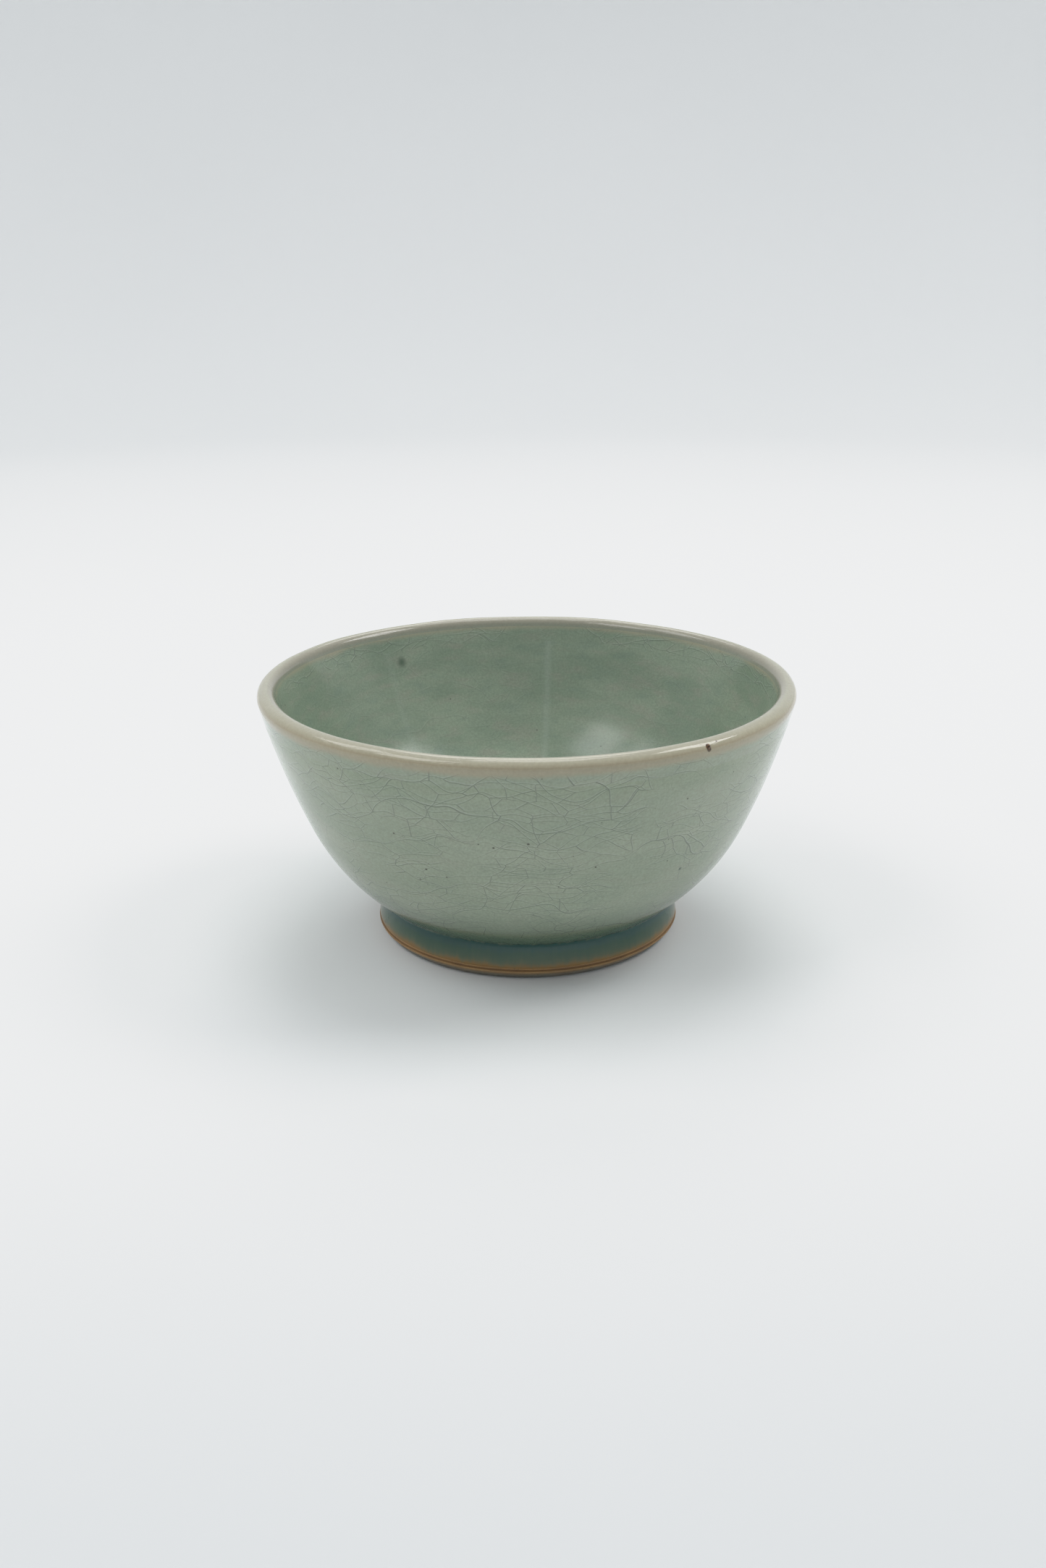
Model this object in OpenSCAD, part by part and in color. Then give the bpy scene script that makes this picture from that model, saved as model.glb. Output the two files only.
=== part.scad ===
// Matcha bowl: a wheel-thrown stoneware bowl on a turned foot ring, under a celadon glaze.
// It stands upright, +Z up, with its origin at the centre of the foot's resting plane.
// Every outline is drawn in the half plane of radius and height, and turned about Z.

/* [Bowl] */
// Diameter over the lip, glaze included
bowl_d = 120; // [114:1:126]
// Height from the resting plane to the top of the lip
bowl_h = 58.5; // [56:0.5:62]
// Radius that the lip is rounded to, glaze included
lip_r = 2; // [1.7:0.1:2.3]
// Lean of the wall at the lip, in degrees from level
lip_lean = 75; // [73:1:77]
// Lean of the wall where its lower and upper sweeps meet, outside
wall_lean = 66; // [64:1:68]
// Lean of the wall where its lower and upper sweeps meet, inside
well_lean = 62; // [60:1:64]

/* [Floor] */
// Height of the drinking surface at the centre of the floor
floor_h = 12.2; // [11.6:0.2:13]
// Radius of the shallow dish that the floor is thrown to
dish_r = 90; // [80:5:110]
// Half angle of that dish, in degrees
dish_angle = 14; // [12:1:15]

/* [Foot ring] */
// Radius of the neck, where the bowl meets the foot
neck_r = 33.9; // [33:0.1:34.4]
// Height of the neck
neck_h = 8.2; // [7.6:0.2:9]
// Lean of the bowl's underside as it leaves the neck
neck_lean = 37; // [35:1:39]
// Largest radius of the foot, at its turned shoulder
foot_r = 34.8; // [34.5:0.1:35.6]
// Height of the shoulder above the resting plane
shoulder_h = 2; // [1.6:0.1:2.1]
// Outer radius of the resting face
rest_r = 33.2; // [32.6:0.1:33.8]
// Width of the resting face
rest_w = 3.6; // [3:0.1:4.2]
// Depth of the hollow inside the foot ring, to the bare clay
hollow_h = 5.4; // [5:0.1:5.8]

/* [Glaze] */
// Thickness of the glaze on the walls
glaze_t = 0.5; // [0.4:0.05:0.7]
// Thickness of the glaze on top of the lip, where it runs thin
lip_glaze_t = 0.2; // [0.15:0.05:0.3]
// How far the thin glaze reaches down from the top of the lip
lip_band = 4.4; // [3.6:0.2:5.2]
// Radius of the glaze that pools in the angle of the neck
pool_r = 1.2; // [0.8:0.1:1.6]
// Height at which the glaze ends on the foot
glaze_line_h = 2.9; // [2.8:0.1:3.4]

/* [Iron spot] */
// Radius of the burnt iron spot on the lip
lip_spot_r = 0.62; // [0.4:0.02:0.8]
// Its direction, in degrees from the front towards +X
lip_spot_angle = 36; // [0:1:359]
// Its place over the lip: 90 faces outwards, and 180 straight up
lip_spot_lean = 116; // [90:1:150]

/* [Hidden] */
$fn = 180;
steps = 16;            // points along each sweep of the outline
lip_steps = 24;        // points round the lip
spot_sink = 0.6;       // depth of the spot's centre under the glaze's surface, as a share of its radius
line_d = 0.3;          // depth of the line turned into the foot above its shoulder
line_w = 0.4;          // width of that line
line_gap = 0.2;        // height of its lower edge above the shoulder
inner_bevel = 0.8;     // bevel inside the resting face
hollow_fillet = 1.5;   // fillet of the glaze in the corner of the hollow
clay_lap = 2;          // degrees by which the clay of the neck starts below its glaze

// An arc that leaves p at heading a and ends at heading b, as points [radius, height, heading].
// A positive rad turns left and a negative one turns right.
function sweep(p, rad, a, b, n = steps) = [for (i = [0:n]) let (h = a + (b - a) * i / n)
    [max(0, p[0] + rad * (sin(h) - sin(a))), p[1] + rad * (cos(a) - cos(h)), h]];

// The radii of two tangent arcs that lead from p at heading a to q at heading c, and meet at heading b.
function sweep_radii(p, q, a, b, c) =
    let (m00 = sin(b) - sin(a), m01 = sin(c) - sin(b), m10 = cos(a) - cos(b), m11 = cos(b) - cos(c),
         det = m00 * m11 - m01 * m10, dr = q[0] - p[0], dz = q[1] - p[1])
    [(dr * m11 - m01 * dz) / det, (m00 * dz - dr * m10) / det];

// The point of an outline that lies t to the left of q, which is into the clay.
function inward(q, t) = [q[0] - t * sin(q[2]), q[1] + t * cos(q[2])];
function flat(path) = [for (q = path) [q[0], q[1]]];
function reversed(list) = [for (i = [len(list) - 1:-1:0]) list[i]];
function tail(list) = [for (i = [1:len(list) - 1]) list[i]];
function end(list) = list[len(list) - 1];

// The glazed outline: up the outside from the neck, over the lip, and down to the centre of the floor.
shoulder = [foot_r, shoulder_h];
neck = [neck_r, neck_h];
foot_heading = atan2(neck_h - shoulder_h, neck_r - foot_r);
pool_tangent = pool_r * tan((foot_heading - neck_lean) / 2);
pool_top = neck + pool_tangent * [cos(neck_lean), sin(neck_lean)];
pool_foot = neck - pool_tangent * [cos(foot_heading), sin(foot_heading)];
lip_centre = [bowl_d / 2 - lip_r, bowl_h - lip_r];
lip_out = lip_centre + lip_r * [sin(lip_lean), -cos(lip_lean)];
lip_in = lip_centre - lip_r * [sin(lip_lean), -cos(lip_lean)];
dish_edge = [dish_r * sin(dish_angle), floor_h + dish_r * (1 - cos(dish_angle))];
out_rad = sweep_radii(pool_top, lip_out, neck_lean, wall_lean, lip_lean);
in_rad = sweep_radii(lip_in, dish_edge, 180 + lip_lean, 180 + well_lean, 180 + dish_angle);

lower_wall = sweep(pool_top, out_rad[0], neck_lean, wall_lean);
upper_wall = sweep(end(lower_wall), out_rad[1], wall_lean, lip_lean);
outside = concat(lower_wall, tail(upper_wall));
lip = sweep(lip_out, lip_r, lip_lean, 180 + lip_lean, lip_steps);
upper_well = sweep(lip_in, in_rad[0], 180 + lip_lean, 180 + well_lean);
lower_well = sweep(end(upper_well), in_rad[1], 180 + well_lean, 180 + dish_angle);
dish = sweep(dish_edge, -dish_r, 180 + dish_angle, 180);
inside = concat(upper_well, tail(lower_well), tail(dish));

// The lip's band takes the top of both walls; the walls keep the rest.
band_h = bowl_h - lip_band;
outside_wall = [for (q = outside) if (q[1] <= band_h) q];
inside_wall = [for (q = inside) if (q[1] <= band_h) q];
band = concat([end(outside_wall)], [for (q = outside) if (q[1] > band_h) q], tail(lip),
              [for (q = tail(inside)) if (q[1] > band_h) q], [inside_wall[0]]);
// The glaze thins from full thickness at the band's edges to its least at the middle.
function band_t(i) = lip_glaze_t + (glaze_t - lip_glaze_t) * pow(abs(2 * i / (len(band) - 1) - 1), 2);

outside_clay = [for (q = outside_wall) inward(q, glaze_t)];
band_clay = [for (i = [0:len(band) - 1]) inward(band[i], band_t(i))];
inside_clay = [for (q = inside_wall) inward(q, glaze_t)];

// The clay's own sweep under the neck, from the flat of the hollow up to the glazed wall.
neck_centre = pool_top + out_rad[0] * [-sin(neck_lean), cos(neck_lean)];
clay_rad = out_rad[0] - glaze_t;
function under_neck(h) = neck_centre + clay_rad * [sin(h), -cos(h)];
base_lean = acos((neck_centre[1] - hollow_h) / clay_rad);
neck_clay_lean = neck_lean - clay_lap;
base_arc = [for (i = [0:steps]) under_neck(base_lean + (neck_clay_lean - base_lean) * i / steps)];
neck_clay = end(base_arc);

// The foot's outside: a bare shoulder, a turned line, and a clay wall that leans in under the glaze.
function foot_clay(h) = shoulder + (neck_clay - shoulder) * (h - shoulder_h) / (neck_h - shoulder_h);
function foot_glaze(h) = shoulder + (neck - shoulder) * (h - shoulder_h) / (neck_h - shoulder_h);
line_h = shoulder_h + line_gap;
foot_side = [shoulder, foot_clay(line_h), foot_clay(line_h + line_w / 2) - [line_d, 0],
             foot_clay(line_h + line_w), foot_clay(glaze_line_h)];

// The hollow inside the foot ring, whose glaze stops short of the resting face.
hollow_r = rest_r - rest_w - inner_bevel;
hollow_line = [hollow_r, glaze_line_h];
hollow_corner = sweep([hollow_r - glaze_t, hollow_h - glaze_t - hollow_fillet], hollow_fillet, 90, 180);

module turned(outline) {
    rotate_extrude() polygon(outline);
}

// The burnt grain of iron, sunk in the lip's glaze and a little way into the clay.
module burnt_grain() {
    outward = [sin(lip_spot_lean), -cos(lip_spot_lean)];
    at = lip_centre + (lip_r - spot_sink * lip_spot_r) * outward;
    rotate([0, 0, lip_spot_angle - 90]) translate([at[0], 0, at[1]]) sphere(r = lip_spot_r, $fn = 24);
}

// Thrown stoneware: the floor and wall in one piece, as far up as the lip.
module clay_bowl() {
    color("tan") difference() {
        turned(concat([[0, hollow_h]], base_arc, outside_clay, tail(band_clay), tail(inside_clay)));
        burnt_grain();
    }
}

// The ring luted and turned under the bowl, bare and toasted where it rests.
module foot_ring() {
    color("peru") turned(concat([[rest_r - rest_w, 0], [rest_r, 0]], foot_side, reversed(base_arc),
                                [[hollow_r, hollow_h], [hollow_r, inner_bevel]]));
}

module inside_glaze() {
    color("darkseagreen") turned(concat(flat(inside_wall), reversed(inside_clay)));
}

module outside_glaze() {
    color("darkseagreen") turned(concat(flat(outside_wall), reversed(outside_clay)));
}

// Thin over the edge, so that the buff clay shows through it.
module lip_glaze() {
    color("wheat") difference() {
        turned(concat(flat(band), reversed(band_clay)));
        burnt_grain();
    }
}

// Runs down to the neck and pools in its angle, thick and blue-green.
module neck_glaze() {
    pool = sweep(pool_foot, -pool_r, foot_heading, neck_lean);
    color("cadetblue") turned(concat([foot_glaze(glaze_line_h)], flat(pool),
                                     [outside_clay[0], neck_clay, foot_clay(glaze_line_h)]));
}

// Lines the hollow of the foot and thins out down its inner side.
module hollow_glaze() {
    color("cadetblue") turned(concat([[0, hollow_h - glaze_t]], reversed(flat(hollow_corner)),
                                     [hollow_line, [hollow_r, hollow_h], [0, hollow_h]]));
}

// The one large grain of iron, which burnt through the glaze at the lip.
module iron_spot() {
    color("saddlebrown") burnt_grain();
}

clay_bowl();
foot_ring();
inside_glaze();
outside_glaze();
lip_glaze();
neck_glaze();
hollow_glaze();
iron_spot();
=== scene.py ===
"""A matcha bowl: thrown stoneware on a turned foot ring, dipped in a crackled celadon glaze.

The bowl stands upright on the origin, in metres. Each section makes one piece, in the order of the
work: the clay is thrown, its foot is turned, the glaze is poured and dipped, and the kiln burns spots of
iron in it. The room, the lights and the camera come last.
"""
from math import acos, atan2, cos, degrees, hypot, pi, radians, sin, tan

import bpy
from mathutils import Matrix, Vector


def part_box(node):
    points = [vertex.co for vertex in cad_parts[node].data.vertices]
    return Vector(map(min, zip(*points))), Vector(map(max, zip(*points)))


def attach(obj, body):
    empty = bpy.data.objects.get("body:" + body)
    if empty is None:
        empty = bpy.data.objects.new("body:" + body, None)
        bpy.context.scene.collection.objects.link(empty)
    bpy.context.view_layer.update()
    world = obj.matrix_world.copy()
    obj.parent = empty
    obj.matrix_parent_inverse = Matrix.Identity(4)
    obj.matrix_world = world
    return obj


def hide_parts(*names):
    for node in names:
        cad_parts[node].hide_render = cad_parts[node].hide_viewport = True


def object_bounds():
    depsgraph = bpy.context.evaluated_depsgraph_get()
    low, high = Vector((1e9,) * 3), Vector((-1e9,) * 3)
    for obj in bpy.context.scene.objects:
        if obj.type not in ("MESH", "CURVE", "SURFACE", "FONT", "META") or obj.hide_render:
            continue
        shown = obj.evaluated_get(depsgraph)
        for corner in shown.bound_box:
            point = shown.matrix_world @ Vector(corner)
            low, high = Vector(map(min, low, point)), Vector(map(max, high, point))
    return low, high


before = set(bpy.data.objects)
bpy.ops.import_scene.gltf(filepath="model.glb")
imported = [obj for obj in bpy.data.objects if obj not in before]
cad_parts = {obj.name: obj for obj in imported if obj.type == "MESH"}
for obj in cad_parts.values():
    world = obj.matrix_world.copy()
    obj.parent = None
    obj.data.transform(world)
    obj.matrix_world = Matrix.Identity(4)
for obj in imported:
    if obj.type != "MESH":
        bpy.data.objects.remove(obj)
cad_low, cad_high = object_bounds()


# ---------------------------------------------------------------------------------------------
# The thrown body: floor and wall in one piece of buff stoneware, thrown on the wheel from one ball
# of clay. Glaze covers all of it, so its outline is the glaze's outline, set back by one coat.
MM = 0.001
SEGMENTS = 360


def bend(path, radius, start, end, steps):
    """Adds an arc to a path of (radius, height) points, turning its heading from start to end degrees."""
    r, z = path[-1]
    for i in range(1, steps + 1):
        heading = radians(start + (end - start) * i / steps)
        across = r + radius * (sin(heading) - sin(radians(start)))
        path.append((max(0.0, across), z + radius * (cos(radians(start)) - cos(heading))))
    return path


def two_bends(p, q, start, middle, end):
    """The radii of two tangent arcs that lead from p to q, through three headings in degrees."""
    a, b, c = radians(start), radians(middle), radians(end)
    m00, m01 = sin(b) - sin(a), sin(c) - sin(b)
    m10, m11 = cos(a) - cos(b), cos(b) - cos(c)
    dr, dz = q[0] - p[0], q[1] - p[1]
    det = m00 * m11 - m01 * m10
    return (dr * m11 - m01 * dz) / det, (m00 * dz - dr * m10) / det


def beside(point, heading, distance):
    """The point that lies a distance to the left of a heading, which is into the clay."""
    return (point[0] - distance * sin(radians(heading)), point[1] + distance * cos(radians(heading)))


def lathe(name, outline, segments=SEGMENTS):
    """Draws an outline of (radius, height) points as a chain of edges, and spins it round the bowl's axis.
    An outline that starts on the axis also ends there. Any other is closed on itself."""
    bpy.ops.object.select_all(action="DESELECT")
    r, z = outline[0]
    bpy.ops.mesh.primitive_plane_add(size=MM, location=(r, 0, z))
    piece = bpy.context.object
    piece.name = name
    piece.data.name = name
    bpy.ops.object.mode_set(mode="EDIT")
    bpy.ops.mesh.merge(type="CENTER")
    for next_r, next_z in outline[1:] + ([] if r == 0 else outline[:1]):
        bpy.ops.mesh.extrude_region_move(TRANSFORM_OT_translate={"value": (next_r - r, 0, next_z - z)})
        r, z = next_r, next_z
    bpy.ops.mesh.select_all(action="SELECT")
    bpy.ops.mesh.remove_doubles(threshold=0.001 * MM)
    bpy.ops.mesh.spin(steps=segments, angle=2 * pi, center=(0, 0, 0), axis=(0, 0, 1))
    bpy.ops.mesh.select_all(action="SELECT")
    bpy.ops.mesh.remove_doubles(threshold=0.002 * MM)
    bpy.ops.mesh.normals_make_consistent(inside=False)
    bpy.ops.object.mode_set(mode="OBJECT")
    bpy.ops.object.transform_apply(location=True, rotation=True, scale=True)
    return piece


def thrown(piece, node):
    """Gives a turned piece the slight waver of a potter's hands, and lets it replace its plain solid."""
    waver = bpy.data.textures.get("hand waver") or bpy.data.textures.new("hand waver", "CLOUDS")
    waver.cloud_type = "COLOR"
    waver.noise_scale = 28 * MM
    waver.noise_depth = 1
    hands = piece.modifiers.new("hand waver", "DISPLACE")
    hands.texture = waver
    hands.texture_coords = "LOCAL"
    hands.direction = "RGB_TO_XYZ"
    hands.strength = 0.45 * MM
    bpy.context.view_layer.objects.active = piece
    piece.select_set(True)
    bpy.ops.object.modifier_apply(modifier=hands.name)
    bpy.ops.object.shade_smooth_by_angle(angle=radians(40))
    piece.select_set(False)
    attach(piece, "root")
    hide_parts(node)


def add(tree, kind, sockets=(), out=0, **settings):
    """Adds a shader node. Its sockets are given by place or by name, each as a value or as a link."""
    item = tree.nodes.new("ShaderNode" + kind)
    for name, value in settings.items():
        setattr(item, name, value)
    for key, value in sockets.items() if isinstance(sockets, dict) else enumerate(sockets):
        if isinstance(value, bpy.types.NodeSocket):
            tree.links.new(value, item.inputs[key])
        else:
            item.inputs[key].default_value = value
    return item.outputs[out]


def maths(tree, operation, *values):
    """One sum on values or links, given in the order of the operation."""
    return add(tree, "Math", values, operation=operation)


def mix(tree, factor, first, second, blend="MIX"):
    """Mixes two colours, each a link or an (r, g, b) value."""
    first, second = (c if isinstance(c, bpy.types.NodeSocket) else (*c, 1.0) for c in (first, second))
    sockets = {0: factor, 6: first, 7: second}
    return add(tree, "Mix", sockets, out=2, data_type="RGBA", blend_type=blend)


def fade(tree, value, low, high, start=0.0, end=1.0):
    """A smooth step from start to end as value goes from low to high."""
    return add(tree, "MapRange", (value, low, high, start, end), interpolation_type="SMOOTHSTEP")


def noise(tree, place, size, detail=2.0, out="Fac", **sockets):
    """Noise with features about as wide as size, in metres."""
    return add(tree, "TexNoise", {"Vector": place, "Scale": 1 / size, "Detail": detail, **sockets}, out=out)


def ramp(tree, share, stops):
    """A row of colours, each with its place from 0 to 1, read off at a share."""
    colours = add(tree, "ValToRGB", {"Fac": share})
    elements = colours.node.color_ramp.elements
    while len(elements) < len(stops):
        elements.new(0.5)
    for element, (position, shade) in zip(elements, stops):
        element.position = position
        element.color = (*shade, 1.0)
    return colours


def axes(tree, place):
    """The place's x, y and z, and its distance from the bowl's axis."""
    x, y, z = (add(tree, "SeparateXYZ", (place,), out=i) for i in range(3))
    squares = maths(tree, "ADD", maths(tree, "MULTIPLY", x, x), maths(tree, "MULTIPLY", y, y))
    return x, y, z, maths(tree, "SQRT", squares)


def surface(name, roughness):
    """A new material: its node tree, and the Object coordinates in it."""
    material = bpy.data.materials.new(name)
    material.use_nodes = True
    tree = material.node_tree
    tree.nodes["Principled BSDF"].inputs["Roughness"].default_value = roughness
    return material, tree, add(tree, "TexCoord", out="Object")


def clad(piece, material, colour, height, depth):
    """Covers a piece with a material of a colour, whose relief's height from 0 to 1 stands for a depth."""
    tree = material.node_tree
    shader = tree.nodes["Principled BSDF"]
    normal = add(tree, "Bump", {"Height": height, "Distance": depth, "Strength": 1.0})
    tree.links.new(colour, shader.inputs["Base Color"])
    tree.links.new(normal, shader.inputs["Normal"])
    piece.data.materials.clear()
    piece.data.materials.append(material)


coat = 0.5 * MM                              # the glaze's thickness on the walls
lip_radius = 2 * MM
lip_lean, wall_lean, well_lean, neck_lean, dish_lean = 75, 66, 62, 37, 14
waver_room = 0.15 * MM                       # kept free inside the bowl's box for the potter's waver
lip_centre = (cad_high.x - waver_room - lip_radius, cad_high.z - waver_room - lip_radius)
lip_out = beside(lip_centre, lip_lean, -lip_radius)
lip_in = beside(lip_centre, lip_lean, lip_radius)

# The glazed outline from the neck up the outside, and from the lip down to the floor.
shoulder = (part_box("foot_ring")[1].x, 2 * MM)
neck = (33.9 * MM, 8.2 * MM)
neck_fillet = 1.2 * MM
foot_lean = degrees(atan2(neck[1] - shoulder[1], neck[0] - shoulder[0]))
fillet_run = neck_fillet * tan(radians(foot_lean - neck_lean) / 2)
pool_top = (neck[0] + fillet_run * cos(radians(neck_lean)), neck[1] + fillet_run * sin(radians(neck_lean)))
dish_radius = 90 * MM
floor_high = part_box("inside_glaze")[0].z + coat
dish_edge = beside((0, floor_high + dish_radius), dish_lean, -dish_radius)
low_wall, high_wall = two_bends(pool_top, lip_out, neck_lean, wall_lean, lip_lean)
high_well, low_well = two_bends(lip_in, dish_edge, 180 + lip_lean, 180 + well_lean, 180 + dish_lean)

hollow_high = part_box("clay_bowl")[0].z
neck_centre = beside(pool_top, neck_lean, low_wall)
clay_bend = low_wall - coat
base_lean = degrees(acos((neck_centre[1] - hollow_high) / clay_bend))
clay_outline = [(0.0, hollow_high), beside(neck_centre, base_lean, -clay_bend)]
bend(clay_outline, clay_bend, base_lean, wall_lean, 30)
bend(clay_outline, high_wall - coat, wall_lean, lip_lean, 20)
bend(clay_outline, lip_radius - coat, lip_lean, 180 + lip_lean, 12)
bend(clay_outline, high_well - coat, 180 + lip_lean, 180 + well_lean, 20)
bend(clay_outline, low_well - coat, 180 + well_lean, 180 + dish_lean, 30)
bend(clay_outline, -dish_radius - coat, 180 + dish_lean, 180, 12)
clay_body = lathe("clay_body", clay_outline)
thrown(clay_body, "clay_bowl")

buff, tree, place = surface("buff stoneware", roughness=0.85)
grit = noise(tree, place, 0.4 * MM, 3)
cloud = noise(tree, place, 9 * MM, 2)
grit_brown = (0.22, 0.14, 0.08)
body_colour = mix(tree, cloud, (0.50, 0.40, 0.29), (0.62, 0.53, 0.41))
body_colour = mix(tree, fade(tree, grit, 0.62, 0.7), body_colour, grit_brown)
clad(clay_body, buff, body_colour, grit, 0.08 * MM)


# ---------------------------------------------------------------------------------------------
# The foot ring: a ring of the same clay, luted on and turned on the wheel, leaning in towards the bowl.
# Its lowest part is left bare, so the kiln toasts it orange-brown. A fine line is turned above its
# shoulder, and a bevel runs down from there to the flat face that it rests on.
rest_out = 33.2 * MM
rest_in = 29.6 * MM
bevel_round = 0.5 * MM
inner_bevel = 0.8 * MM
hollow_radius = rest_in - inner_bevel
line_low, line_wide, line_deep = 2.2 * MM, 0.4 * MM, 0.3 * MM
glaze_line = 2.9 * MM
clay_lap = 2                                 # degrees by which the neck's clay starts below its glaze
neck_clay = beside(neck_centre, neck_lean - clay_lap, -clay_bend)


def foot_side(height):
    """A point of the foot's clay wall, which leans from the shoulder to the neck."""
    along = (height - shoulder[1]) / (neck_clay[1] - shoulder[1])
    return (shoulder[0] + (neck_clay[0] - shoulder[0]) * along, height)


rest_high = 0.08 * MM                        # kept free under the foot for the same waver
foot_outline = [(rest_in, rest_high), (rest_out - bevel_round, rest_high)]
bevel_lean = degrees(atan2(shoulder[1], shoulder[0] - rest_out))
bend(foot_outline, bevel_round / tan(radians(bevel_lean) / 2), 0, bevel_lean, 8)
for back, above in ((0.12 * MM, -0.25 * MM), (0.02 * MM, -0.06 * MM), (0.01 * MM, 0.06 * MM)):
    foot_outline.append((shoulder[0] - back, shoulder[1] + above))
foot_outline.append(foot_side(line_low))
for step in range(1, 8):
    edge = foot_side(line_low + line_wide * step / 8)
    foot_outline.append((edge[0] - line_deep * sin(pi * step / 8), edge[1]))
foot_outline.append(foot_side(line_low + line_wide))
for step in range(1, 13):
    foot_outline.append(foot_side(line_low + line_wide + (neck_clay[1] - line_low - line_wide) * step / 12))
under = [beside(neck_centre, base_lean, -clay_bend)]
bend(under, clay_bend, base_lean, neck_lean - clay_lap, 6)
foot_outline += under[-2::-1]
foot_outline.append((hollow_radius, hollow_high))
for step in range(1, 9):
    foot_outline.append((hollow_radius, hollow_high + (inner_bevel - hollow_high) * step / 8))
foot_ring = lathe("turned_foot", foot_outline)
thrown(foot_ring, "foot_ring")

toasted, tree, place = surface("toasted foot clay", roughness=0.62)
height = add(tree, "SeparateXYZ", (place,), out=2)
patches = noise(tree, place, 7 * MM, 3)
grit = noise(tree, place, 0.35 * MM, 3)
drift = maths(tree, "MULTIPLY_ADD", patches, 0.5 * MM, height)
ash_grey, orange_brown = (0.185, 0.180, 0.145), (0.390, 0.225, 0.088)
smoke_brown, groove_shade, grit_dark = (0.20, 0.13, 0.08), (0.060, 0.030, 0.012), (0.07, 0.045, 0.03)
toast = mix(tree, fade(tree, drift, 1.0 * MM, 2.6 * MM), ash_grey, orange_brown)
toast = mix(tree, fade(tree, patches, 0.35, 0.7), toast, mix(tree, 0.5, toast, smoke_brown))
# The turned line is painted dark brown: painted shade in its groove.
in_line = maths(tree, "ABSOLUTE", maths(tree, "SUBTRACT", height, line_low + line_wide / 2))
toast = mix(tree, fade(tree, in_line, 0.32 * MM, 0.08 * MM, 0, 0.4), toast, groove_shade)
toast = mix(tree, fade(tree, grit, 0.60, 0.72, 0, 0.55), toast, grit_dark)
clad(foot_ring, toasted, toast, grit, 0.06 * MM)


# ---------------------------------------------------------------------------------------------
# The outside glaze: a half-millimetre coat of celadon, from just under the lip down to the neck.
# Its iron gives the grey green, and it shrank more than the clay, so it is crazed all over.
def crackle(tree, place, front):
    """The cracks of a crazed glaze, as a mask. Long ones waver round the bowl, and between them a wide net
    and a fine one break the glaze into cells that are drawn out sideways. The nets are laid out flat from
    the side that front points to, 1 for +Y and -1 for -Y, so that they meet on the other side."""
    ball = 60 * MM                           # the cracks are counted down from a point above the floor
    middle_radius = 45 * MM
    half_wide = 0.12 * MM
    wander_wide, wander_far = 12 * MM, 8 * MM
    wander = noise(tree, place, wander_wide, 1.2, out="Color")
    shift = add(tree, "VectorMath", (wander, (0.5, 0.5, 0.5)), operation="SUBTRACT")
    shift = add(tree, "VectorMath", {0: shift, "Scale": wander_far}, operation="SCALE")
    moved = add(tree, "VectorMath", (place, shift), operation="ADD")
    x, y, z, out = axes(tree, moved)
    down = maths(tree, "MULTIPLY", maths(tree, "ARCTAN2", out, maths(tree, "SUBTRACT", ball, z)), ball)
    turn = maths(tree, "ARCTAN2", x, maths(tree, "MULTIPLY", y, front))
    laid_out = add(tree, "CombineXYZ", (maths(tree, "MULTIPLY", turn, middle_radius), down, 0.0))
    row_high, row_swell = 7 * MM, 3.2        # the long cracks' spacing, and how many rows they stray by
    swell = maths(tree, "MULTIPLY", noise(tree, place, 26 * MM, 1), row_swell)
    level = maths(tree, "MULTIPLY_ADD", down, 1 / row_high, swell)
    gap = maths(tree, "MULTIPLY", maths(tree, "PINGPONG", level, 0.5), row_high)
    patches = noise(tree, place, 15 * MM, 1.5)
    cracks = fade(tree, gap, half_wide, 0.0)
    cracks = maths(tree, "MULTIPLY", cracks, fade(tree, patches, 0.34, 0.5, 0.2, 1.0))
    drawn = add(tree, "Mapping", {"Vector": laid_out, "Scale": (1, 2.1, 1)})
    for cell, low, high, strength in ((8 * MM, 0.34, 0.5, 1.0), (5 * MM, 0.40, 0.56, 0.8)):
        sockets = {"Vector": drawn, "Scale": 1 / cell}
        net = add(tree, "TexVoronoi", sockets, voronoi_dimensions="2D", feature="DISTANCE_TO_EDGE")
        net = fade(tree, maths(tree, "MULTIPLY", net, cell), 1.3 * half_wide, 0.0)
        net = maths(tree, "MULTIPLY", net, fade(tree, patches, low, high, 0.15, strength))
        cracks = maths(tree, "MAXIMUM", cracks, net)
    return cracks


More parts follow.
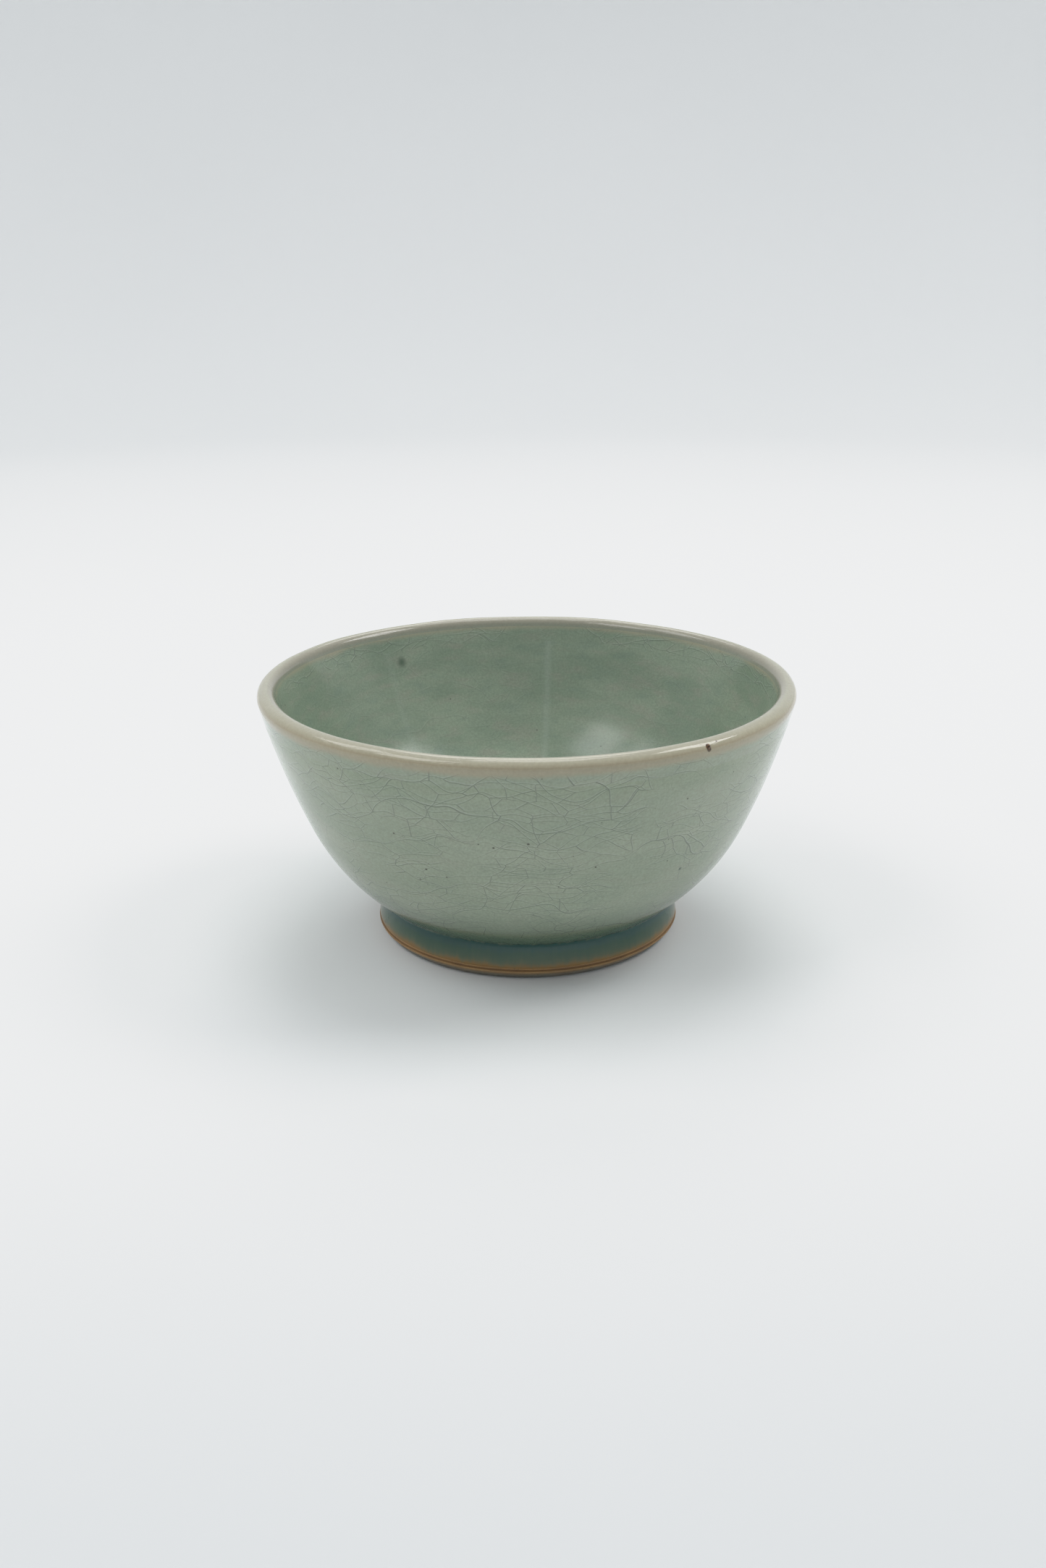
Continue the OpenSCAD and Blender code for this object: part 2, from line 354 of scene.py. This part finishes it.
def celadon(tree, place, light, dark, blush, crazing=1.0, front=-1):
    """The colour of the glaze, and the height of its surface from 0 to 1. It is crazed, and drawn out in
    soft drifts, with a pinkish blush where it lies thin and a deeper green where it lies thick."""
    pinkish, deep_green = (0.330, 0.300, 0.255), (0.170, 0.235, 0.190)
    crack_highlight, crack_dark, fleck_dark = (0.62, 0.66, 0.60), (0.085, 0.098, 0.078), (0.060, 0.062, 0.050)
    drawn = add(tree, "Mapping", {"Vector": place, "Scale": (1, 1, 2.8)})
    drifts = noise(tree, drawn, 24 * MM, 2)
    dapple = noise(tree, drawn, 7 * MM, 4)
    grain = noise(tree, place, 0.5 * MM, 2)
    colour = mix(tree, fade(tree, drifts, 0.35, 0.68), dark, light)
    colour = mix(tree, fade(tree, dapple, 0.46, 0.76, 0, blush), colour, pinkish)
    colour = mix(tree, fade(tree, dapple, 0.48, 0.24, 0, blush), colour, deep_green)
    speckle = mix(tree, grain, (0.66, 0.66, 0.66), (1.34, 1.34, 1.34))
    colour = mix(tree, 0.7, colour, speckle, "MULTIPLY")
    # Each crack is dark, with a painted highlight just above it, where its lip would catch the light from
    # above.
    cracks = crackle(tree, place, front)
    below = add(tree, "VectorMath", (place, (0, 0, -0.28 * MM)), operation="ADD")
    edges = crackle(tree, below, front)
    colour = mix(tree, maths(tree, "MULTIPLY", edges, 0.24 * crazing), colour, crack_highlight)
    colour = mix(tree, maths(tree, "MULTIPLY", cracks, 0.62 * crazing), colour, crack_dark)
    # Tiny flecks of iron, each in a cell of its own, and only in the cells that chance picks.
    fleck_apart = 3.2 * MM
    flecks = {"Vector": place, "Scale": 1 / fleck_apart}
    fleck = add(tree, "TexVoronoi", flecks)
    rare = add(tree, "SeparateColor", (add(tree, "TexVoronoi", flecks, out=1),))
    size = fade(tree, rare, 0.5, 1.0, 0.0, 0.07)
    dot = maths(tree, "LESS_THAN", fleck, size)
    colour = mix(tree, maths(tree, "MULTIPLY", dot, 0.7), colour, fleck_dark)
    height = maths(tree, "MULTIPLY_ADD", cracks, -0.4 * crazing, maths(tree, "MULTIPLY", dapple, 0.25))
    return colour, height


def burnt(tree, place, colour, wall, turn, height, size, shade, soft=0.4):
    """Lays a burnt speck over a colour. It is on a wall, whose outline is given, at a turn in degrees from
    the front towards +X. Its height and its radius, size, are in millimetres."""
    out = min(wall, key=lambda point: abs(point[1] - height * MM))[0]
    centre = (out * sin(radians(turn)), -out * cos(radians(turn)), height * MM)
    far = add(tree, "VectorMath", (place, centre), out=1, operation="DISTANCE")
    return mix(tree, fade(tree, far, size * MM, size * soft * MM, 0, 0.85), colour, shade)


celadon_light, celadon_dark = (0.336, 0.380, 0.288), (0.302, 0.354, 0.264)
wall_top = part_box("outside_glaze")[1].z


def lean_at(path, radius, start, height):
    """The heading at which an arc that goes on from a path reaches a height."""
    return degrees(acos(cos(radians(start)) - (height - path[-1][1]) / radius))


def coat_back(point, start, bends):
    """The clay side of a coat, from a point on its face at a heading, with fewer points."""
    path = [beside(point, start, coat)]
    for radius, first, last in bends:
        bend(path, radius - coat, first, last, 8)
    return path[::-1]


face = bend([pool_top], low_wall, neck_lean, wall_lean, 64)
top_lean = lean_at(face, high_wall, wall_lean, wall_top)
bend(face, high_wall, wall_lean, top_lean, 30)
back = coat_back(pool_top, neck_lean, [(low_wall, neck_lean, wall_lean), (high_wall, wall_lean, top_lean)])
outside_coat = lathe("outside_celadon", face + back)
thrown(outside_coat, "outside_glaze")

outside_celadon, tree, place = surface("outside celadon", roughness=0.16)
height = add(tree, "SeparateXYZ", (place,), out=2)
colour, surface_height = celadon(tree, place, celadon_light, celadon_dark, blush=0.14)
# It is a touch greener just under the lip's band. Towards the foot it is darker: partly where the glaze
# thickens, and partly painted shade on the lower wall.
for start, end, shade in ((46 * MM, 53 * MM, (0.93, 0.95, 0.91)), (22 * MM, 9 * MM, (0.42, 0.51, 0.46))):
    colour = mix(tree, fade(tree, height, start, end), colour, mix(tree, 1.0, colour, shade, "MULTIPLY"))
specks = [(0, 39.7, 0.40), (-7.2, 38.6, 0.33), (-29.3, 39.4, 0.30), (-23.5, 31.4, 0.34), (33.6, 46.3, 0.33),
          (14.7, 43.9, 0.26), (14.9, 32.9, 0.30), (-25.9, 28.4, 0.30), (-39.5, 52.4, 0.30), (127, 41, 0.35),
          (-151, 33, 0.4), (171, 45, 0.3), (84, 30, 0.35), (-98, 44, 0.3), (-76, 26, 0.33)]
speck_dark, speck_green = (0.060, 0.052, 0.040), (0.060, 0.095, 0.075)
for turn, speck_high, size in specks:
    colour = burnt(tree, place, colour, face, turn, speck_high, size, speck_dark)
colour = burnt(tree, place, colour, face, 39.3, 27.5, 0.62, speck_green, soft=0.2)
clad(outside_coat, outside_celadon, colour, surface_height, 0.035 * MM)


# ---------------------------------------------------------------------------------------------
# The inside glaze: the same celadon, poured in and swirled out. It lies a little thicker, so it is
# greener, and it runs from under the lip down to the middle of the floor.
well_light, well_dark = (0.272, 0.332, 0.246), (0.216, 0.278, 0.202)
well_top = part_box("inside_glaze")[1].z
well_lip_lean = 360 - degrees(acos(cos(radians(180 + lip_lean)) - (well_top - lip_in[1]) / high_well))
start = bend([lip_in], high_well, 180 + lip_lean, well_lip_lean, 1)[-1]
face = bend([start], high_well, well_lip_lean, 180 + well_lean, 28)
bend(face, low_well, 180 + well_lean, 180 + dish_lean, 64)
bend(face, -dish_radius, 180 + dish_lean, 180, 28)
face[-1] = (0.0, face[-1][1])
well_bends = [(high_well, well_lip_lean, 180 + well_lean), (low_well, 180 + well_lean, 180 + dish_lean),
              (-dish_radius, 180 + dish_lean, 180)]
back = coat_back(start, well_lip_lean, well_bends)
back[0] = (0.0, back[0][1])
inside_coat = lathe("inside_celadon", back + face)
thrown(inside_coat, "inside_glaze")

inside_celadon, tree, place = surface("inside celadon", roughness=0.21)
colour, surface_height = celadon(tree, place, well_light, well_dark, blush=0.34, crazing=0.3, front=1)
# Two pale streaks are painted down the back of the well, from the lip to the floor: painted reflections of
# upright strips of light.
painted_reflection_pale, spot_green = (0.52, 0.58, 0.52), (0.075, 0.120, 0.078)
sway = maths(tree, "MULTIPLY", maths(tree, "SUBTRACT", noise(tree, place, 14 * MM, 1), 0.5), 1.6 * MM)
for turn, strength in ((173.6, 0.12), (-140.5, 0.06)):
    ahead = (sin(radians(turn)), -cos(radians(turn)), 0)
    beyond = add(tree, "VectorMath", (place, ahead), out=1, operation="DOT_PRODUCT")
    aside = add(tree, "VectorMath", (place, (-ahead[1], ahead[0], 0)), out=1, operation="DOT_PRODUCT")
    aside = maths(tree, "ABSOLUTE", maths(tree, "ADD", aside, sway))
    run_and_reflection = fade(tree, aside, 1.6 * MM, 0.0, 0, strength)
    run_and_reflection = maths(tree, "MULTIPLY", run_and_reflection, fade(tree, beyond, 20 * MM, 46 * MM))
    colour = mix(tree, run_and_reflection, colour, painted_reflection_pale)
# One large soft spot lies deep in the glaze.
colour = burnt(tree, place, colour, face, -144.3, 50.1, 1.9, spot_green, soft=0.1)
clad(inside_coat, inside_celadon, colour, surface_height, 0.035 * MM)


# ---------------------------------------------------------------------------------------------
# The lip glaze: where the glaze drained off the rounded edge it is thin, and the buff clay shows
# through it in bands, cream on top, brown at the outer corner, then pinkish down to the celadon.
lip_start = beside(neck_centre, wall_lean, -low_wall)
band_start = bend([lip_start], high_wall, wall_lean, top_lean, 1)[-1]
wall_steps, lip_steps = 10, 48
face = bend([band_start], high_wall, top_lean, lip_lean, wall_steps)
bend(face, lip_radius, lip_lean, 180 + lip_lean, lip_steps)
bend(face, high_well, 180 + lip_lean, well_lip_lean, wall_steps)
lip_bends = [(high_wall, top_lean, lip_lean), (lip_radius, lip_lean, 180 + lip_lean),
             (high_well, 180 + lip_lean, well_lip_lean)]
lip_coat = lathe("lip_celadon", face + coat_back(band_start, top_lean, lip_bends))
thrown(lip_coat, "lip_glaze")

lip_celadon, tree, place = surface("thin celadon on the lip", roughness=0.07)
_, _, z, out = axes(tree, place)
over = maths(tree, "SUBTRACT", z, lip_centre[1])
beyond = maths(tree, "SUBTRACT", out, lip_centre[0])
round_lip = maths(tree, "MULTIPLY", maths(tree, "ARCTAN2", over, beyond), 180 / pi)
inner = fade(tree, beyond, 0.6 * MM, -0.6 * MM)
light = mix(tree, inner, celadon_light, well_light)
dark = mix(tree, inner, celadon_dark, well_dark)
colour, surface_height = celadon(tree, place, light, dark, blush=0.22)
wander = maths(tree, "MULTIPLY", maths(tree, "SUBTRACT", noise(tree, place, 9 * MM, 3), 0.5), 1.8 * MM)
fine_wander = maths(tree, "MULTIPLY", maths(tree, "SUBTRACT", noise(tree, place, 2.5 * MM, 3), 0.5), 12.0)
turn_at = maths(tree, "ADD", round_lip, fine_wander)
stops = [(0.00, (0.385, 0.350, 0.250)), (0.06, (0.395, 0.350, 0.245)), (0.09, (0.370, 0.320, 0.218)),
         (0.13, (0.400, 0.355, 0.248)), (0.20, (0.420, 0.388, 0.280)), (0.27, (0.425, 0.400, 0.300)),
         (0.36, (0.415, 0.395, 0.308)), (0.45, (0.412, 0.395, 0.308)), (0.54, (0.398, 0.392, 0.305)),
         (0.60, (0.370, 0.352, 0.282)), (0.80, (0.300, 0.284, 0.222)), (1.00, (0.290, 0.300, 0.236))]
bands = ramp(tree, maths(tree, "DIVIDE", turn_at, 180.0), stops)
outer_run = fade(tree, maths(tree, "ADD", over, wander), -0.3 * MM, -1.9 * MM)
inner_run = fade(tree, maths(tree, "ADD", over, wander), 0.6 * MM, -1.4 * MM)
run_and_reflection = add(tree, "Mix", {0: inner, 2: outer_run, 3: inner_run}, data_type="FLOAT")
speckle = mix(tree, noise(tree, place, 0.6 * MM, 2), (0.7, 0.7, 0.7), (1.3, 1.3, 1.3))
thin = mix(tree, 0.4, bands, speckle, "MULTIPLY")
colour = mix(tree, run_and_reflection, thin, colour)
# The glaze is burnt round the large grain of iron, and a small one lies beside it.
outer_face = face[:1 + wall_steps + lip_steps // 2]
rust_dark, rust_brown = (0.060, 0.034, 0.018), (0.080, 0.050, 0.028)
colour = burnt(tree, place, colour, outer_face, 36.1, 56.8, 0.66, rust_dark, soft=0.6)
colour = burnt(tree, place, colour, outer_face, 38.5, 57.8, 0.34, rust_brown)
clad(lip_coat, lip_celadon, colour, surface_height, 0.03 * MM)


# ---------------------------------------------------------------------------------------------
# The neck glaze: what ran down the wall pools in the angle above the foot, thick, dark and blue-green.
# Below it thins to a ragged edge on the foot's side.
pool_foot = (neck[0] - fillet_run * cos(radians(foot_lean)), neck[1] - fillet_run * sin(radians(foot_lean)))
edge_share = (glaze_line - shoulder[1]) / (neck[1] - shoulder[1])
edge_out = shoulder[0] + (neck[0] - shoulder[0]) * edge_share
edge_round = 0.12 * MM
face = [(edge_out - edge_round, glaze_line)]
bend(face, edge_round, 0, foot_lean, 5)
start_face = face[-1]
for step in range(1, 13):
    share = step / 12
    face.append(tuple(a + (b - a) * share for a, b in zip(start_face, pool_foot)))
bend(face, -neck_fillet, foot_lean, neck_lean, 12)
back = [beside(pool_top, neck_lean, coat), neck_clay, foot_side((neck_clay[1] + glaze_line) / 2)]
neck_coat = lathe("neck_celadon", face + back + [foot_side(glaze_line)])
thrown(neck_coat, "neck_glaze")

pooled, tree, place = surface("pooled celadon", roughness=0.12)
height = add(tree, "SeparateXYZ", (place,), out=2)
streak_place = add(tree, "Mapping", {"Vector": place, "Scale": (1, 1, 0.18)})
streaks = noise(tree, streak_place, 1.3 * MM, 3)
broad = noise(tree, place, 8 * MM, 2)
level = maths(tree, "MULTIPLY_ADD", maths(tree, "SUBTRACT", broad, 0.5), 1.4 * MM, height)
level = maths(tree, "MULTIPLY_ADD", maths(tree, "SUBTRACT", streaks, 0.5), 1.2 * MM, level)
stops = [(0.00, (0.250, 0.138, 0.042)), (0.06, (0.235, 0.145, 0.050)), (0.13, (0.180, 0.145, 0.070)),
         (0.22, (0.110, 0.135, 0.080)), (0.36, (0.075, 0.120, 0.078)), (0.55, (0.050, 0.105, 0.072)),
         (0.70, (0.036, 0.094, 0.078)), (0.82, (0.027, 0.083, 0.074)), (0.90, (0.027, 0.083, 0.074)),
         (0.96, (0.055, 0.095, 0.070)), (1.00, (0.130, 0.165, 0.120))]
bands = ramp(tree, add(tree, "MapRange", (level, glaze_line, pool_top[1], 0, 1)), stops)
clad(neck_coat, pooled, bands, streaks, 0.03 * MM)


# ---------------------------------------------------------------------------------------------
# The hollow glaze: the coat under the bowl, inside the foot ring. It pools in the corner and thins
# out down the ring's inner side, short of the face that the bowl rests on.
hollow_fillet = 1.5 * MM
hollow_skin = hollow_high - coat
flat_out = hollow_radius - coat - hollow_fillet
face = [(flat_out * step / 20, hollow_skin) for step in range(20)]
face += bend([(flat_out, hollow_skin)], -hollow_fillet, 0, -90, 12)
face += [(hollow_radius - coat / 4, glaze_line + 0.3 * MM), (hollow_radius - 0.01 * MM, glaze_line)]
back = [(hollow_radius, glaze_line + 0.02 * MM), (hollow_radius, hollow_high), (0.0, hollow_high)]
hollow_coat = lathe("hollow_celadon", face + back)
thrown(hollow_coat, "hollow_glaze")

hollow_celadon, tree, place = surface("celadon under the bowl", roughness=0.16)
hollow_light, hollow_dark = (0.20, 0.25, 0.19), (0.12, 0.17, 0.13)
colour, surface_height = celadon(tree, place, hollow_light, hollow_dark, blush=0.3, crazing=0.4)
clad(hollow_coat, hollow_celadon, colour, surface_height, 0.03 * MM)


# ---------------------------------------------------------------------------------------------
# The iron spot: a grain of iron in the clay that burnt through the glaze on the lip. It is a low glossy
# bead with an uneven edge.
iron, tree, place = surface("burnt iron", roughness=0.3)
blotch = noise(tree, place, 0.35 * MM, 2)
rust = mix(tree, fade(tree, blotch, 0.42, 0.62), (0.030, 0.018, 0.012), (0.16, 0.075, 0.022))
clad(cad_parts["iron_spot"], iron, rust, blotch, 0.05 * MM)


# ---------------------------------------------------------------------------------------------
# The room: a round white cove, swept up all round, with the bowl at its middle. Its paper gets a little
# greyer on the side of the camera: painted shade, where the light falls off towards the camera.
cove_flat, cove_round, cove_high, cove_thick = 0.95, 0.5, 0.75, 0.02
bpy.ops.object.select_all(action="DESELECT")
cove_path = bend([(0.0, 0.0), (cove_flat, 0.0)], cove_round, 0, 90, 24)
cove_path.append((cove_flat + cove_round, cove_high))
cove_out = cove_flat + cove_round + cove_thick
cove_path += [(cove_out, cove_high), (cove_out, -cove_thick), (0.0, -cove_thick)]
cove = lathe("cove", cove_path, 96)
bpy.context.view_layer.objects.active = cove
cove.select_set(True)
bpy.ops.object.shade_smooth_by_angle(angle=radians(40))
cove.select_set(False)
paper, tree, place = surface("white paper", roughness=0.9)
shade = mix(tree, noise(tree, place, 0.3, 1), (0.80, 0.81, 0.81), (0.83, 0.84, 0.84))
# The camera's side of the paper is darkened: painted shade.
camera_side_shade = fade(tree, add(tree, "SeparateXYZ", (place,), out=1), -0.03, -0.22)
shade = mix(tree, camera_side_shade, shade, mix(tree, 1.0, shade, (0.78, 0.79, 0.80), "MULTIPLY"))
tree.links.new(shade, tree.nodes["Principled BSDF"].inputs["Base Color"])
cove.data.materials.append(paper)


# ---------------------------------------------------------------------------------------------
# The lights: soft boxes over the bowl and to its sides, in a room that is bright all over.
def soft_box(name, place, aim, wide, high, power):
    """Hangs a rectangular light at a place, facing the point that it is aimed at."""
    bpy.ops.object.light_add(type="AREA", location=place)
    box = bpy.context.object
    box.name = name
    box.data.shape = "RECTANGLE"
    box.data.size = wide
    box.data.size_y = high
    box.data.energy = power
    gap = [a - p for a, p in zip(aim, place)]
    box.rotation_euler = (atan2(hypot(gap[0], gap[1]), -gap[2]), 0, atan2(gap[0], -gap[1]) + pi)


bowl_heart = (0, 0, 0.03)
soft_box("overhead box", (0.05, 0.18, 1.15), bowl_heart, wide=0.55, high=0.5, power=2.6)
soft_box("window box", (-0.54, -0.30, 0.80), bowl_heart, wide=0.34, high=0.40, power=1.5)
soft_box("left box", (-0.8, 0.15, 0.95), bowl_heart, wide=0.5, high=0.5, power=2.4)
soft_box("right box", (0.8, 0.15, 0.95), bowl_heart, wide=0.5, high=0.5, power=4.7)
soft_box("back box", (0.0, 0.8, 0.95), bowl_heart, wide=0.5, high=0.5, power=2.0)
world = bpy.data.worlds.new("bright room")
world.use_nodes = True
glow = world.node_tree.nodes["Background"].inputs
glow["Color"].default_value = (0.92, 0.96, 1.0, 1.0)
glow["Strength"].default_value = 0.51
bpy.context.scene.world = world

# The whites are rounded off as on film, so that the bright paper stays even.
view = bpy.context.scene.view_settings
view.view_transform = "Standard"
view.use_curve_mapping = True
tones = view.curve_mapping.curves[3]
tones.points[1].location = (1.0, 0.86)
for bright in [(0.5, 0.5), (0.72, 0.72), (0.8, 0.782), (0.9, 0.83)]:
    tones.points.new(*bright)
view.curve_mapping.update()


# ---------------------------------------------------------------------------------------------
# The camera looks down on the bowl at a little under 20 degrees, from an arm's length away.
aim = (-0.95 * MM, 0.0, 32.73 * MM)
away, tilt, roll = 350 * MM, 19.53, 0.38
bpy.ops.object.camera_add(location=(aim[0], -away * cos(radians(tilt)), aim[2] + away * sin(radians(tilt))))
camera = bpy.context.object
camera.data.lens = 35
camera.data.sensor_width = 36
camera.rotation_euler = (radians(90 - tilt), 0, 0)
camera.rotation_euler.rotate_axis("Z", radians(-roll))
bpy.context.scene.camera = camera
